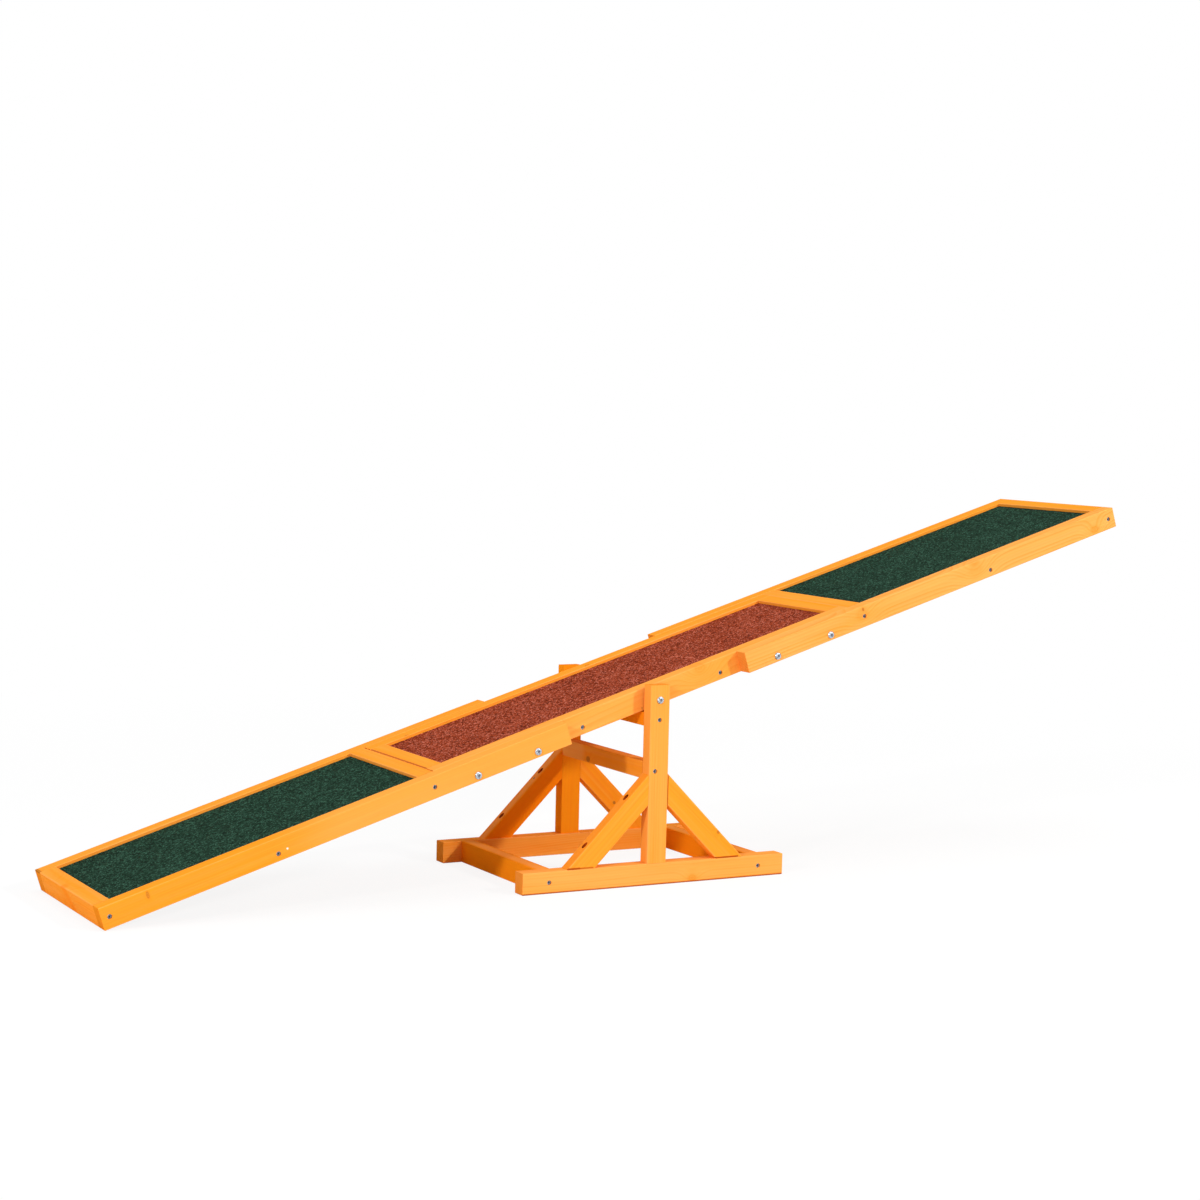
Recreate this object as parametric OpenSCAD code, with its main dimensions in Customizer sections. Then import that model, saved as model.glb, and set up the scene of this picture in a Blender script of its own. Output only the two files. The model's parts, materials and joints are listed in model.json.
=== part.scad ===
// Dog agility seesaw: a jointed timber plank that tips on a small braced base.
// Millimetres. +X runs along the plank to the raised end, +Y to the far side, +Z up, floor at z = 0.

/* [Plank] */
// Overall length of the plank
plank_len = 1797; // [1500:1:2400]
// Overall width of the plank, over the outer rails
plank_w = 298.5; // [240:0.5:400]
// Length of the narrower middle section
mid_len = 742.6; // [600:0.2:900]
// How far the outer rails run past the joint, along the middle rails
overlap_len = 212; // [150:1:260]
// Gap that shows between the two boards of the low joint
low_joint_gap = 1.4; // [0:0.1:2]

/* [Timber] */
// Height of every board that stands on edge
board_h = 33; // [28:0.5:45]
// Thickness of the rails and of the boards between them
rail_t = 24.5; // [18:0.5:30]
// Thickness of the posts and braces
post_t = 20.5; // [16:0.5:24]
// Width of the posts, along the plank
post_w = 33; // [28:0.5:45]
// Width of the braces
brace_w = 33; // [28:0.5:45]
// Rounding of the long edges
edge_r = 1.2; // [0.5:0.1:2.5]

/* [Deck] */
// Depth of the grit surface below the rail tops
recess = 4.8; // [3:0.1:9]
// Thickness of the mineral grit sheet
grit_t = 1.2; // [0.8:0.1:2]
// Thickness of the plywood deck under the sheet
deck_t = 6; // [4:0.5:6.5]
// Gap between the deck and the timber around it
deck_gap = 0.5; // [0.2:0.1:1.5]
// Width of the battens under the deck
batten_w = 33; // [20:1:45]
// Distance of the two middle battens from the pivot
mid_batten_x = 124; // [80:1:160]
// Width of the ledgers that carry the ends of the deck
ledger_w = 15; // [10:1:22]
// Height of these ledgers
ledger_h = 15; // [10:0.5:18]

/* [Pivot] */
// Height of the pivot axis above the floor
pivot_h = 280; // [260:1:340]
// Height of the pivot axis above the plank's bottom edge
pivot_up = 12.7; // [11:0.1:15]
// Running clearance round the pivot bolts, on the radius
run_gap = 0.05; // [0.02:0.01:0.1]
// Side clearance between the spacers and the plank
side_gap = 0.3; // [0.2:0.05:0.6]
// Height at which the lowest end of the plank stops above the floor
floor_gap = 0.3; // [0.1:0.1:1]

/* [Base] */
// Length of the two base rails
base_len = 450; // [400:1:600]
// Distance of each ground cross rail's centre from the end of the base rails
cross_inset = 44; // [20:1:55]
// Height of the posts above the pivot axis
post_over = 22.5; // [16:0.5:30]
// Length of a brace's outer edge along the post and along the base rail
brace_leg = 135; // [120:1:150]
// Height of the lower crossbar's underside above the floor
bar_z = 159.5; // [120:0.5:180]
// Height of the lower crossbar
bar_h = 26.5; // [20:0.5:33]
// Thickness of the lower crossbar, along the plank
bar_t = 21; // [16:0.5:28]
// Clearance between the plank and the bar under it
upper_bar_gap = 1.5; // [1:0.1:4]

/* [Bolts] */
// Diameter of every bolt
bolt_d = 6; // [5:0.5:6]
// Diameter of the bolt heads
head_d = 11.5; // [10:0.5:14]
// Height of the bolt heads
head_h = 2.6; // [2:0.1:4]
// Hexagon socket in the bolt heads, across flats
socket_af = 4; // [3:0.5:5]
// Depth of the hexagon socket
socket_deep = 1.8; // [1:0.1:1.9]
// Hexagon nuts, across flats
nut_af = 10; // [9:0.5:10]
// Height of the nuts
nut_h = 5; // [4:0.5:6]
// Diameter of the washers
washer_d = 12; // [10:0.5:12]
// Thickness of the washers
washer_t = 1.2; // [0.8:0.1:1.6]
// Diameter of the spacers between the posts and the plank
spacer_d = 16; // [12:0.5:20]
// Bolt end that stands out of the nut
bolt_out = 2.5; // [1:0.5:5]
// Height of the joint bolts above the plank's bottom edge
joint_bolt_up = 8.7; // [8:0.1:12]
// Distance of the joint bolts from each end of the overlap
bolt_inset = 55.5; // [40:0.5:65]

/* [Screws] */
// Diameter of the wood screws
screw_d = 3.5; // [3:0.5:4.5]
// Diameter of their countersunk heads
screw_head_d = 7; // [6:0.1:8]
// Length of the screws along the plank
plank_screw_len = 55; // [45:1:70]
// Length of the screws in the base rails and crossbars
base_screw_len = 58; // [45:1:70]
// Length of the screws up into the posts
post_screw_len = 70; // [60:1:90]
// Distance of the two screws under a post from its centre line
post_screw_x = 8; // [6:0.5:10]
// Distance of a brace's screws from the corner of post and rail
brace_screw_at = 101.5; // [96:0.5:110]
// Diameter of the slanted pocket over a brace screw
pocket_d = 8.2; // [7.8:0.1:10]
// Timber left under the head of a brace screw
pocket_floor = 22; // [18:0.5:26]
// Length of the brace screws
brace_screw_len = 35; // [30:1:36]
// Clearance round every fixed screw and bolt, on the radius
hole_gap = 0.05; // [0.02:0.01:0.2]
// Depth of the screw heads below the timber's surface, where they aren't in a pocket
sink = 2; // [0:0.1:3]

/* [Hidden] */
$fn = 48;

timber = [0.93, 0.60, 0.24];
timber_deep = [0.86, 0.52, 0.18];
plywood = [0.80, 0.62, 0.38];
zinc = [0.78, 0.80, 0.83];
nylon = [0.90, 0.90, 0.88];
green_grit = [0.12, 0.26, 0.19];
red_grit = [0.58, 0.25, 0.19];

// Plank frame: x along the plank from the pivot, y across, z square to the plank from the pivot axis
half_len = plank_len / 2;
half_w = plank_w / 2;
bottom = -pivot_up;
top = board_h - pivot_up;
mid_z = (top + bottom) / 2;
joint_x = mid_len / 2;
overlap_x = joint_x - overlap_len;
mid_out = half_w - rail_t;
mid_in = mid_out - rail_t;
grit_top = top - recess;
deck_top = grit_top - grit_t;
deck_low = deck_top - deck_t;
end_in = half_len - rail_t;
mid_board_in = joint_x - rail_t;
joint_bolt_z = bottom + joint_bolt_up;
batten_z = (deck_low + bottom) / 2;
bolt_xs = [overlap_x + bolt_inset, joint_x - bolt_inset];
// The face of an outer section's joint board, s = -1 for the low side and 1 for the high side
function joint_face(s) = joint_x + (s < 0 ? low_joint_gap : 0);
function board_in(s) = joint_face(s) + rail_t;
function outer_batten(s) = (board_in(s) + end_in) / 2;

// Rest pose: the low end's bottom edge stands floor_gap above the floor
reach = sqrt(half_len * half_len + pivot_up * pivot_up);
tilt = asin((pivot_h - floor_gap) / reach) - atan(pivot_up / half_len);
// The pivot stands off the origin so that the origin is under the middle of the whole
pivot_x = mid_z * sin(tilt);

post_in = half_w - post_t;
post_y = half_w - post_t / 2;
spacer_t = post_in - mid_out - side_gap;
upper_bar_top = pivot_h - pivot_up / cos(tilt) - post_w / 2 * tan(tilt) - upper_bar_gap;
bar_x = -post_w / 2 + bar_t / 2;
cross_x = base_len / 2 - cross_inset;
big = 1000;

// Rounded section of a board
module section(a, b) {
    square([a - 2 * edge_r, b], center = true);
    square([a, b - 2 * edge_r], center = true);
    for (i = [-1, 1], j = [-1, 1])
        translate([i * (a / 2 - edge_r), j * (b / 2 - edge_r)])
            circle(edge_r);
}

// Boards lying along x, y and z, from their lower to their upper corner
module beam_x(p, q) {
    translate([p.x, (p.y + q.y) / 2, (p.z + q.z) / 2])
        rotate([90, 0, 90])
            linear_extrude(q.x - p.x)
                section(q.y - p.y, q.z - p.z);
}

module beam_y(p, q) {
    translate([(p.x + q.x) / 2, q.y, (p.z + q.z) / 2])
        rotate([90, 0, 0])
            linear_extrude(q.y - p.y)
                section(q.x - p.x, q.z - p.z);
}

module beam_z(p, q) {
    translate([(p.x + q.x) / 2, (p.y + q.y) / 2, p.z])
        linear_extrude(q.z - p.z)
            section(q.x - p.x, q.y - p.y);
}

// A rail whose ends are eased like its long edges
module eased_rail(p, q) {
    intersection() {
        beam_x(p, q);
        translate([(p.x + q.x) / 2, q.y + 1, (p.z + q.z) / 2])
            rotate([90, 0, 0])
                linear_extrude(q.y - p.y + 2)
                    section(q.x - p.x, q.z - p.z);
    }
}

module box(p, q) {
    translate(p)
        cube(q - p);
}

// Near and far copies of what is drawn on the near side
module both() {
    children();
    mirror([0, 1, 0])
        children();
}

// What is drawn for the high, near corner, put to side s (-1 low, 1 high) and t (-1 near, 1 far)
module to_corner(s, t) {
    mirror([s < 0 ? 1 : 0, 0, 0])
        mirror([0, t > 0 ? 1 : 0, 0])
            children();
}

// Plank frame put in its rest pose
module in_plank() {
    translate([pivot_x, 0, pivot_h])
        rotate([0, -tilt, 0])
            children();
}

// Base frame: x from the pivot
module in_base() {
    translate([pivot_x, 0, 0])
        children();
}

// Countersunk screw with a cross recess, its head the given depth below z = 0
module screw(l, deep = sink) {
    cone_h = (screw_head_d - screw_d) / 2;
    difference() {
        union() {
            translate([0, 0, -deep - cone_h])
                cylinder(h = cone_h, d1 = screw_d, d2 = screw_head_d);
            translate([0, 0, -l])
                cylinder(h = l - deep - cone_h / 2, d = screw_d);
        }
        for (a = [0, 90])
            rotate(a)
                translate([-screw_head_d / 4, -0.5, -deep - cone_h])
                    cube([screw_head_d / 2, 1, cone_h + 1]);
    }
}

// The hole that a screw sits in
module screw_hole(l, deep = sink) {
    cone_h = (screw_head_d - screw_d) / 2;
    translate([0, 0, -deep - cone_h])
        cylinder(h = cone_h, d1 = screw_d + 2 * hole_gap, d2 = screw_head_d + 2 * hole_gap);
    translate([0, 0, -deep])
        cylinder(h = deep + 1, d = screw_head_d + 2 * hole_gap);
    translate([0, 0, -l - 1])
        cylinder(h = l + 1, d = screw_d + 2 * hole_gap);
}

// Puts what is drawn below z = 0 into the near side, from the face that stands y off the centre line
module from_near(x, y, z) {
    translate([x, -y, z])
        rotate([90, 0, 0])
            children();
}

// Bolt with a low domed head and a hexagon socket, its head's seat at z = 0
module bolt(l) {
    difference() {
        rotate_extrude()
            polygon([
                [0, -l], [bolt_d / 2 - 0.5, -l], [bolt_d / 2, 0.5 - l], [bolt_d / 2, 0], [head_d / 2, 0],
                [head_d / 2, head_h * 0.45], [head_d / 2 - 1.2, head_h * 0.85], [head_d / 2 - 2.4, head_h],
                [0, head_h]
            ]);
        translate([0, 0, head_h - socket_deep])
            cylinder(h = socket_deep + 1, d = socket_af / cos(30), $fn = 6);
    }
}

// Flat ring with the bolt's hole, from z = 0 down
module ring(d, h) {
    translate([0, 0, -h])
        difference() {
            cylinder(h = h, d = d);
            translate([0, 0, -1])
                cylinder(h = h + 2, d = bolt_d + 2 * hole_gap);
        }
}

// Hexagon nut, from z = 0 down
module nut() {
    translate([0, 0, -nut_h])
        difference() {
            intersection() {
                cylinder(h = nut_h, d = nut_af / cos(30), $fn = 6);
                rotate_extrude()
                    polygon([
                        [0, 0], [nut_af / 2, 0], [nut_af / 2 + 0.7, 0.5], [nut_af / 2 + 0.7, nut_h - 0.5],
                        [nut_af / 2, nut_h], [0, nut_h]
                    ]);
            }
            translate([0, 0, -1])
                cylinder(h = nut_h + 2, d = bolt_d + 2 * hole_gap);
        }
}

// The pieces of the plank; the bolt holes of a joint come first, drawn for the high near corner
module joint_bolt_holes() {
    for (x = bolt_xs)
        from_near(x, half_w, joint_bolt_z)
            translate([0, 0, -half_w])
                cylinder(h = half_w + 1, d = bolt_d + 2 * hole_gap);
}

module outer_rail(s, t) {
    color(timber)
        in_plank()
            to_corner(s, t)
                difference() {
                    eased_rail([overlap_x, -half_w, bottom], [half_len, -mid_out, top]);
                    joint_bolt_holes();
                    from_near(half_len - rail_t / 2, half_w, mid_z)
                        screw_hole(plank_screw_len);
                    from_near(board_in(s) - rail_t / 2, half_w, mid_z)
                        screw_hole(plank_screw_len);
                    from_near(outer_batten(s), half_w, batten_z)
                        screw_hole(plank_screw_len);
                }
}

module mid_rail(t) {
    color(timber)
        in_plank()
            to_corner(1, t)
                difference() {
                    beam_x([-joint_x, -mid_out, bottom], [joint_x, -mid_in, top]);
                    for (s = [-1, 1])
                        to_corner(s, -1) {
                            joint_bolt_holes();
                            from_near(joint_x - rail_t / 2, mid_out, mid_z)
                                screw_hole(plank_screw_len);
                            from_near(mid_batten_x, mid_out, batten_z)
                                screw_hole(plank_screw_len);
                        }
                    from_near(0, half_w, 0)
                        translate([0, 0, -half_w])
                            cylinder(h = half_w + 1, d = bolt_d + 2 * run_gap);
                }
}

// A board across the plank with a screw hole in each end
module cross_board(x0, x1, y, z0, z1, screw_z, screw_y) {
    difference() {
        beam_y([x0, -y, z0], [x1, y, z1]);
        both()
            from_near((x0 + x1) / 2, screw_y, screw_z)
                screw_hole(plank_screw_len);
    }
}

module end_board(s) {
    color(timber)
        in_plank()
            to_corner(s, -1)
                cross_board(end_in, half_len, mid_out, bottom, top, mid_z, half_w);
}

module joint_board(s) {
    color(timber)
        in_plank()
            to_corner(s, -1)
                cross_board(joint_face(s), board_in(s), mid_out, bottom, top, mid_z, half_w);
}

module mid_board(s) {
    color(timber)
        in_plank()
            to_corner(s, -1)
                cross_board(mid_board_in, joint_x, mid_in, bottom, top, mid_z, mid_out);
}

module outer_batten_piece(s) {
    x = outer_batten(s);
    color(timber_deep)
        in_plank()
            to_corner(s, -1)
                cross_board(x - batten_w / 2, x + batten_w / 2, mid_out, bottom, deck_low, batten_z, half_w);
}

module mid_batten_piece(s) {
    x = mid_batten_x;
    color(timber_deep)
        in_plank()
            to_corner(s, -1)
                cross_board(x - batten_w / 2, x + batten_w / 2, mid_in, bottom, deck_low, batten_z, mid_out);
}

module ledger(x0, y) {
    beam_y([x0, -y + deck_gap, deck_low - ledger_h], [x0 + ledger_w, y - deck_gap, deck_low]);
}

module outer_ledgers(s) {
    color(timber_deep)
        in_plank()
            to_corner(s, -1) {
                ledger(board_in(s), mid_out);
                ledger(end_in - ledger_w, mid_out);
            }
}

module mid_ledger_pair() {
    color(timber_deep)
        in_plank()
            for (s = [-1, 1])
                to_corner(s, -1)
                    ledger(mid_board_in - ledger_w, mid_in);
}

// A flat sheet between z0 and z1 that fills a section's opening
module sheet(x0, x1, y, z0, z1) {
    box([x0 + deck_gap, -y + deck_gap, z0], [x1 - deck_gap, y - deck_gap, z1]);
}

module outer_deck(s) {
    color(plywood)
        in_plank()
            to_corner(s, -1)
                sheet(board_in(s), end_in, mid_out, deck_low, deck_top);
}

module outer_grit(s) {
    color(green_grit)
        in_plank()
            to_corner(s, -1)
                sheet(board_in(s), end_in, mid_out, deck_top, grit_top);
}

module mid_deck_piece() {
    color(plywood)
        in_plank()
            sheet(-mid_board_in, mid_board_in, mid_in, deck_low, deck_top);
}

module mid_grit_piece() {
    color(red_grit)
        in_plank()
            sheet(-mid_board_in, mid_board_in, mid_in, deck_top, grit_top);
}

// Copies at the bolts of both joints, near and far
module at_joint_bolts(y) {
    for (s = [-1, 1], t = [-1, 1])
        to_corner(s, t)
            for (x = bolt_xs)
                from_near(x, y, joint_bolt_z)
                    children();
}

module joint_bolts() {
    color(zinc)
        in_plank()
            at_joint_bolts(half_w)
                bolt(2 * rail_t + washer_t + nut_h + bolt_out);
}

module joint_washers() {
    color(zinc)
        in_plank()
            at_joint_bolts(mid_in)
                ring(washer_d, washer_t);
}

module joint_nuts() {
    color(zinc)
        in_plank()
            at_joint_bolts(mid_in - washer_t)
                nut();
}

module plank_screws() {
    color(zinc)
        in_plank()
            for (s = [-1, 1], t = [-1, 1])
                to_corner(s, t) {
                    from_near(half_len - rail_t / 2, half_w, mid_z)
                        screw(plank_screw_len);
                    from_near(board_in(s) - rail_t / 2, half_w, mid_z)
                        screw(plank_screw_len);
                    from_near(outer_batten(s), half_w, batten_z)
                        screw(plank_screw_len);
                    from_near(joint_x - rail_t / 2, mid_out, mid_z)
                        screw(plank_screw_len);
                    from_near(mid_batten_x, mid_out, batten_z)
                        screw(plank_screw_len);
                }
}

// The pieces of the base; the places of its fasteners come first, drawn for the high near corner
module at_cross_screw() {
    from_near(cross_x, half_w, board_h / 2)
        children();
}

module at_post_screw() {
    translate([post_screw_x, -post_y, 0])
        mirror([0, 0, 1])
            children();
}

// The screw that holds a brace to its post, head to the outside
module at_brace_post_screw() {
    translate([post_w / 2 + pocket_floor, -post_y, board_h + brace_screw_at])
        rotate([0, 90, 0])
            children();
}

// The screw that holds a brace to its base rail
module at_brace_rail_screw() {
    translate([post_w / 2 + brace_screw_at, -post_y, board_h + pocket_floor])
        children();
}

module at_bar_screws() {
    from_near(bar_x, half_w, bar_z + bar_h / 2)
        children();
    from_near(0, half_w, upper_bar_top - post_t / 2)
        children();
}

module base_rail(t) {
    color(timber)
        in_base()
            to_corner(1, t)
                difference() {
                    eased_rail([-base_len / 2, -half_w, 0], [base_len / 2, -mid_out, board_h]);
                    for (s = [-1, 1])
                        to_corner(s, -1) {
                            at_cross_screw()
                                screw_hole(base_screw_len);
                            at_post_screw()
                                screw_hole(post_screw_len);
                            at_brace_rail_screw()
                                screw_hole(brace_screw_len, 0);
                        }
                }
}

module cross_rail(s) {
    color(timber)
        in_base()
            to_corner(s, -1)
                difference() {
                    beam_y([cross_x - rail_t / 2, -mid_out, 0], [cross_x + rail_t / 2, mid_out, board_h]);
                    both()
                        at_cross_screw()
                            screw_hole(base_screw_len);
                }
}

module post(t) {
    color(timber)
        in_base()
            to_corner(1, t)
                difference() {
                    beam_z([-post_w / 2, -half_w, board_h], [post_w / 2, -post_in, pivot_h + post_over]);
                    from_near(0, half_w + 1, pivot_h)
                        translate([0, 0, -post_t - 2])
                            cylinder(h = post_t + 2, d = bolt_d + 2 * hole_gap);
                    at_bar_screws()
                        screw_hole(base_screw_len);
                    for (s = [-1, 1])
                        to_corner(s, -1) {
                            at_post_screw()
                                screw_hole(post_screw_len);
                            at_brace_post_screw()
                                screw_hole(brace_screw_len, 0);
                        }
                }
}

// A brace at 45 degrees, mitred to the post and to the base rail, with two slanted screw pockets
module brace(s, t) {
    inward = brace_w / 2 * sin(45);
    half_long = brace_leg * sin(45) + brace_w;
    color(timber)
        in_base()
            to_corner(s, t)
                difference() {
                    intersection() {
                        translate([post_w / 2 + brace_leg / 2 - inward, 0, board_h + brace_leg / 2 - inward])
                            rotate([0, 45, 0])
                                beam_x([-half_long, -half_w, -brace_w / 2], [half_long, -post_in, brace_w / 2]);
                        box([post_w / 2, -half_w - 1, board_h], [big, 0, big]);
                    }
                    at_brace_post_screw() {
                        screw_hole(brace_screw_len, 0);
                        cylinder(h = brace_leg, d = pocket_d);
                    }
                    at_brace_rail_screw() {
                        screw_hole(brace_screw_len, 0);
                        cylinder(h = brace_leg, d = pocket_d);
                    }
                }
}

module lower_crossbar() {
    color(timber)
        in_base()
            difference() {
                beam_y([-post_w / 2, -post_in, bar_z], [-post_w / 2 + bar_t, post_in, bar_z + bar_h]);
                both()
                    at_bar_screws()
                        screw_hole(base_screw_len);
            }
}

module upper_crossbar() {
    color(timber)
        in_base()
            difference() {
                beam_y([-post_w / 2, -post_in, upper_bar_top - post_t], [post_w / 2, post_in, upper_bar_top]);
                both()
                    at_bar_screws()
                        screw_hole(base_screw_len);
            }
}

module at_pivot(y) {
    in_base()
        both()
            from_near(0, y, pivot_h)
                children();
}

module pivot_bolts() {
    color(zinc)
        at_pivot(half_w)
            bolt(half_w - mid_in + side_gap + washer_t + nut_h + bolt_out);
}

module pivot_spacers() {
    color(nylon)
        at_pivot(post_in)
            ring(spacer_d, spacer_t);
}

module pivot_washers() {
    color(zinc)
        at_pivot(mid_in - side_gap)
            ring(washer_d, washer_t);
}

module pivot_nuts() {
    color(zinc)
        at_pivot(mid_in - side_gap - washer_t)
            nut();
}

module base_screws() {
    color(zinc)
        in_base()
            for (s = [-1, 1], t = [-1, 1])
                to_corner(s, t)
                    at_cross_screw()
                        screw(base_screw_len);
}

module post_screws() {
    color(zinc)
        in_base()
            for (s = [-1, 1], t = [-1, 1])
                to_corner(s, t)
                    at_post_screw()
                        screw(post_screw_len);
}

module brace_screws() {
    color(zinc)
        in_base()
            for (s = [-1, 1], t = [-1, 1])
                to_corner(s, t) {
                    at_brace_post_screw()
                        screw(brace_screw_len, 0);
                    at_brace_rail_screw()
                        screw(brace_screw_len, 0);
                }
}

module crossbar_screws() {
    color(zinc)
        in_base()
            both()
                at_bar_screws()
                    screw(base_screw_len);
}

outer_rail(-1, -1);  // low_rail_near
outer_rail(-1, 1);  // low_rail_far
end_board(-1);  // low_end_board
joint_board(-1);  // low_joint_board
outer_batten_piece(-1);  // low_batten
outer_ledgers(-1);  // low_ledgers
outer_deck(-1);  // low_deck
outer_grit(-1);  // low_grit
mid_rail(-1);  // mid_rail_near
mid_rail(1);  // mid_rail_far
mid_board(-1);  // mid_board_low
mid_board(1);  // mid_board_high
mid_batten_piece(-1);  // mid_batten_low
mid_batten_piece(1);  // mid_batten_high
mid_ledger_pair();  // mid_ledgers
mid_deck_piece();  // mid_deck
mid_grit_piece();  // mid_grit
outer_rail(1, -1);  // high_rail_near
outer_rail(1, 1);  // high_rail_far
end_board(1);  // high_end_board
joint_board(1);  // high_joint_board
outer_batten_piece(1);  // high_batten
outer_ledgers(1);  // high_ledgers
outer_deck(1);  // high_deck
outer_grit(1);  // high_grit
joint_bolts();
joint_washers();
joint_nuts();
plank_screws();
base_rail(-1);  // base_rail_near
base_rail(1);  // base_rail_far
cross_rail(-1);  // cross_rail_low
cross_rail(1);  // cross_rail_high
post(-1);  // post_near
post(1);  // post_far
brace(-1, -1);  // brace_near_low
brace(1, -1);  // brace_near_high
brace(-1, 1);  // brace_far_low
brace(1, 1);  // brace_far_high
lower_crossbar();
upper_crossbar();
pivot_bolts();
pivot_spacers();
pivot_washers();
pivot_nuts();
base_screws();
post_screws();
brace_screws();
crossbar_screws();
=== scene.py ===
"""Looks of a dog agility seesaw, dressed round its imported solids.

Stained softwood, mineral grit sheets, zinc fixings and a plain studio.
"""

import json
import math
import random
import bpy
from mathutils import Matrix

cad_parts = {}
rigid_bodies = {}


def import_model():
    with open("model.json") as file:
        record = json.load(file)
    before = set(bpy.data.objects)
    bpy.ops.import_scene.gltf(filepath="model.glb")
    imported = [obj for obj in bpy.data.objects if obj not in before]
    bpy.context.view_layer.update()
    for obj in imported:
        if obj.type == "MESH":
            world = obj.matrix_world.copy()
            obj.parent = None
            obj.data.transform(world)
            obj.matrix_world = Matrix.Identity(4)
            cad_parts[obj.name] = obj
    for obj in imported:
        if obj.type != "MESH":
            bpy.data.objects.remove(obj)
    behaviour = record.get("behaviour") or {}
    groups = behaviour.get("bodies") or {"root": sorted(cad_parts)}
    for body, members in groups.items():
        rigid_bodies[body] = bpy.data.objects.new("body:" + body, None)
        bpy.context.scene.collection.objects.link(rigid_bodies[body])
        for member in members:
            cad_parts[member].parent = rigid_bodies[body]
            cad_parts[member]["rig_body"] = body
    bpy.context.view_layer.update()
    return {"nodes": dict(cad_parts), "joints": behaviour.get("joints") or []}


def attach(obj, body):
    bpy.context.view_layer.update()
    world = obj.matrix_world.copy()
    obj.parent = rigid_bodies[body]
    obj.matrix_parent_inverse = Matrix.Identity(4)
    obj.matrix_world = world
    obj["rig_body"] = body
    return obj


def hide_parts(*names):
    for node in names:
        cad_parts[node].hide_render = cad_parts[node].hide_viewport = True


bl_info = {
    "name": "Agility Seesaw Looks",
    "version": (1, 0, 0),
    "blender": (4, 5, 0),
    "location": "3D View > Sidebar > Seesaw",
    "description": "Dresses the packed seesaw in stained softwood, grit and zinc, and sets its studio round it",
    "category": "Object",
}

import bmesh
import bpy
from bpy.props import FloatProperty, FloatVectorProperty, PointerProperty
from mathutils import Matrix, Vector

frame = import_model()

# The plank's tilt at rest is half of what its pivot can turn
PIVOT = frame["joints"][0]
TILT = math.radians(PIVOT["range_deg"][1]) / 2

# How each way of lying turns a board's own length, which runs along its local x
PLANK_TURN = Matrix.Rotation(-TILT, 3, "Y")
LIES = {
    "along plank": PLANK_TURN,
    "across plank": PLANK_TURN @ Matrix.Rotation(math.radians(90), 3, "Z"),
    "along base": Matrix.Identity(3),
    "across base": Matrix.Rotation(math.radians(90), 3, "Z"),
    "upright": Matrix.Rotation(math.radians(-90), 3, "Y"),
    "leaning high": Matrix.Rotation(math.radians(-45), 3, "Y"),
    "leaning low": Matrix.Rotation(math.radians(-135), 3, "Y"),
}

# Every board: how it lies, how pale its stain is (below 0 it is deeper), how strong its grain shows, and its seed
# The paleness is partly the board's own tone and partly painted light and shade: boards in strong light are made
# paler, boards that lie in shade deeper
BOARDS = {
    "low_rail_near": ("along plank", 0.10, 0.45, 11),
    "low_rail_far": ("along plank", 0.25, 0.60, 12),
    "low_end_board": ("across plank", 0.22, 1.00, 13),
    "low_joint_board": ("across plank", 0.25, 0.55, 14),
    "mid_rail_near": ("along plank", 0.60, 0.50, 15),
    "mid_rail_far": ("along plank", 0.20, 0.60, 16),
    "mid_board_low": ("across plank", 0.25, 0.55, 17),
    "mid_board_high": ("across plank", 0.20, 0.55, 18),
    "high_rail_near": ("along plank", 0.80, 0.95, 19),
    "high_rail_far": ("along plank", 0.20, 0.60, 20),
    "high_end_board": ("across plank", 0.20, 0.55, 21),
    "high_joint_board": ("across plank", 0.30, 0.60, 22),
    "base_rail_near": ("along base", 0.70, 0.60, 23),
    "base_rail_far": ("along base", 0.35, 0.95, 24),
    "cross_rail_low": ("across base", -0.12, 0.60, 25),
    "cross_rail_high": ("across base", -0.30, 0.60, 26),
    "post_near": ("upright", 0.45, 0.65, 27),
    "post_far": ("upright", -0.12, 0.60, 28),
    "brace_near_low": ("leaning high", 0.16, 0.50, 29),
    "brace_near_high": ("leaning low", 0.14, 0.55, 30),
    "brace_far_low": ("leaning high", -0.75, 0.70, 31),
    "brace_far_high": ("leaning low", 0.05, 0.55, 32),
    "lower_crossbar": ("across base", 0.12, 0.70, 33),
    "upper_crossbar": ("across base", -0.40, 0.60, 34),
}
HIDDEN_BOARDS = {
    "low_batten": ("across plank", 0.2, 0.8, 41),
    "low_ledgers": ("across plank", 0.3, 0.8, 42),
    "mid_batten_low": ("across plank", 0.25, 0.8, 43),
    "mid_batten_high": ("across plank", 0.15, 0.8, 44),
    "mid_ledgers": ("across plank", 0.3, 0.8, 45),
    "high_batten": ("across plank", 0.2, 0.8, 46),
    "high_ledgers": ("across plank", 0.3, 0.8, 47),
}

# The decks and their seeds, then each grit sheet: its colour, its darkest and lightest granules against that colour
# by channel, and its seed
DECKS = {"low_deck": 51, "mid_deck": 52, "high_deck": 53}
GRITS = {
    "low_grit": ("green", (0.35, 0.35, 0.35), (5.4, 4.4, 5.2), 61),
    "high_grit": ("green", (0.35, 0.35, 0.35), (5.4, 4.4, 5.2), 62),
    "mid_grit": ("red", (0.28, 0.22, 0.30), (2.09, 4.55, 13.0), 63),
}

# How fine the noises of the wood are, along a board and across it
WANDER_SCALE = (3.0, 22.0, 22.0)
PATCH_SCALE = (5.0, 28.0, 28.0)
STREAK_SCALE = (4.0, 120.0, 120.0)
FIBRE_SCALE = (9.0, 620.0, 620.0)

# Each board's rings, in metres: way to the heart of the tree, its angle in half turns, its lean, spacing and wander
HEART_AWAY = (0.025, 0.060)
HEART_ANGLE = (0.15, 0.45)
HEART_LEAN = 0.02
RING_SPACING = (0.0030, 0.0046)
WANDER = 0.012

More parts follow.
